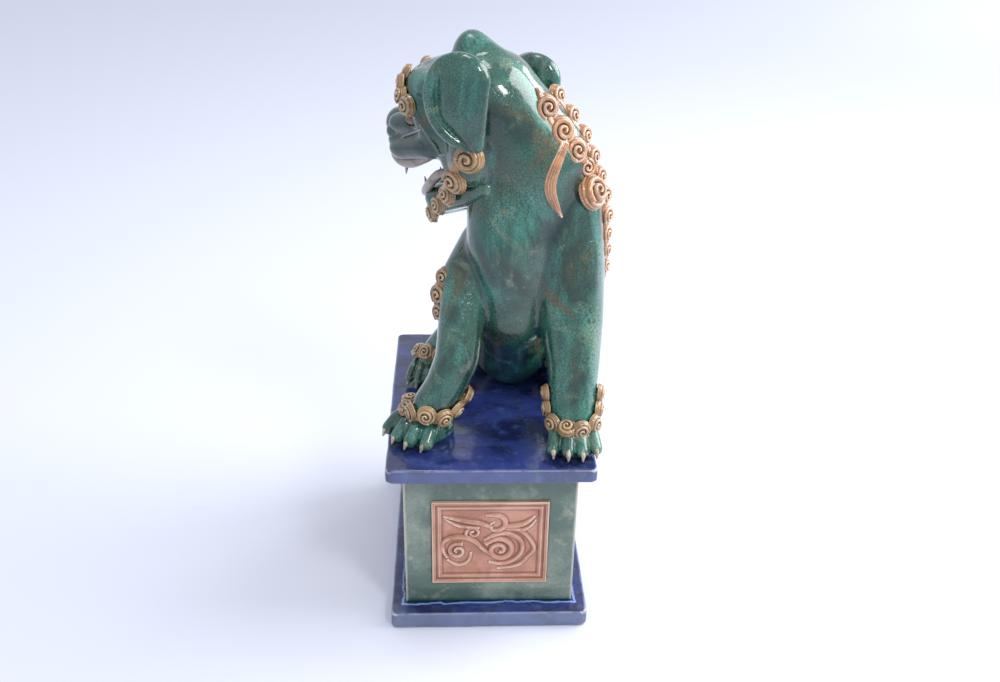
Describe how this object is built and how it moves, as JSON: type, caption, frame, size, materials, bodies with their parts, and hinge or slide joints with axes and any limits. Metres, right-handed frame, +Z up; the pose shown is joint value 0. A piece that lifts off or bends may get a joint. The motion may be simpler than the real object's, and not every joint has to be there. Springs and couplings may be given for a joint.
{
  "type": "foo dog statue",
  "caption": "Seated glazed ceramic guardian lion with its head turned over its shoulder, curled mane and open mouth, on a rectangular plinth with relief panels.",
  "frame": {"origin": "middle of the plinth on the ground; the middle of the whole outline seen from above is within 3 mm of it", "axes": "+Z up; -Y the side the chest and the front relief panel face; +X the lion's left, -X the side the head is turned to"},
  "size_m": [0.1832, 0.233, 0.481],
  "materials": {
    "teal_glaze": "deep green crackle glaze with brown mottling, high gloss",
    "green_glaze": "grey-green glaze with cream patches, gloss",
    "cobalt_glaze": "mottled cobalt blue glaze, gloss",
    "terracotta_glaze": "thin amber glaze over pink clay, satin gloss",
    "orange_glaze": "amber-orange glaze, gloss",
    "ochre_glaze": "yellow-ochre glaze with cream edges, gloss",
    "cream_glaze": "thin pinkish-cream glaze, gloss",
    "brown_glaze": "dark brown glaze, gloss"
  },
  "bodies": {
    "root": {"crown_bump": "teal_glaze", "head": "teal_glaze", "left_brow_curls": "ochre_glaze", "left_cheek_curls": "ochre_glaze", "left_ear": "teal_glaze", "left_elbow_curls": "ochre_glaze", "left_eye": "brown_glaze", "left_fore_ankle_curls": "ochre_glaze", "left_fore_claw_1": "cream_glaze", "left_fore_claw_2": "cream_glaze", "left_fore_claw_3": "cream_glaze", "left_fore_claw_4": "cream_glaze", "left_fore_leg": "teal_glaze", "left_fore_paw": "teal_glaze", "left_hind_ankle_curls": "ochre_glaze", "left_hind_leg": "teal_glaze", "left_hind_paw": "teal_glaze", "lower_jaw": "teal_glaze", "lower_left_fang": "cream_glaze", "lower_lip": "cream_glaze", "lower_right_fang": "cream_glaze", "mane_back_curls": "orange_glaze", "mane_far_curls": "orange_glaze", "mane_neck_curls": "orange_glaze", "mane_shoulder_curl": "orange_glaze", "mane_side_curls": "orange_glaze", "mane_strand": "orange_glaze", "nose": "teal_glaze", "plinth_foot": "cobalt_glaze", "plinth_top_slab": "cobalt_glaze", "plinth_wall_back": "green_glaze", "plinth_wall_front": "green_glaze", "plinth_wall_left_side": "green_glaze", "plinth_wall_right_side": "green_glaze", "relief_panel_back": "terracotta_glaze", "relief_panel_front": "terracotta_glaze", "relief_panel_left_side": "terracotta_glaze", "relief_panel_right_side": "terracotta_glaze", "right_brow_curls": "ochre_glaze", "right_cheek_curls": "ochre_glaze", "right_ear": "teal_glaze", "right_elbow_curls": "ochre_glaze", "right_eye": "brown_glaze", "right_fore_ankle_curls": "ochre_glaze", "right_fore_claw_1": "cream_glaze", "right_fore_claw_2": "cream_glaze", "right_fore_claw_3": "cream_glaze", "right_fore_claw_4": "cream_glaze", "right_fore_leg": "teal_glaze", "right_fore_paw": "teal_glaze", "right_hind_ankle_curls": "ochre_glaze", "right_hind_leg": "teal_glaze", "right_hind_paw": "teal_glaze", "tail": "teal_glaze", "tail_curls": "ochre_glaze", "torso": "teal_glaze", "upper_left_fang": "cream_glaze", "upper_lip": "cream_glaze", "upper_right_fang": "cream_glaze"}
  },
  "joints": []
}
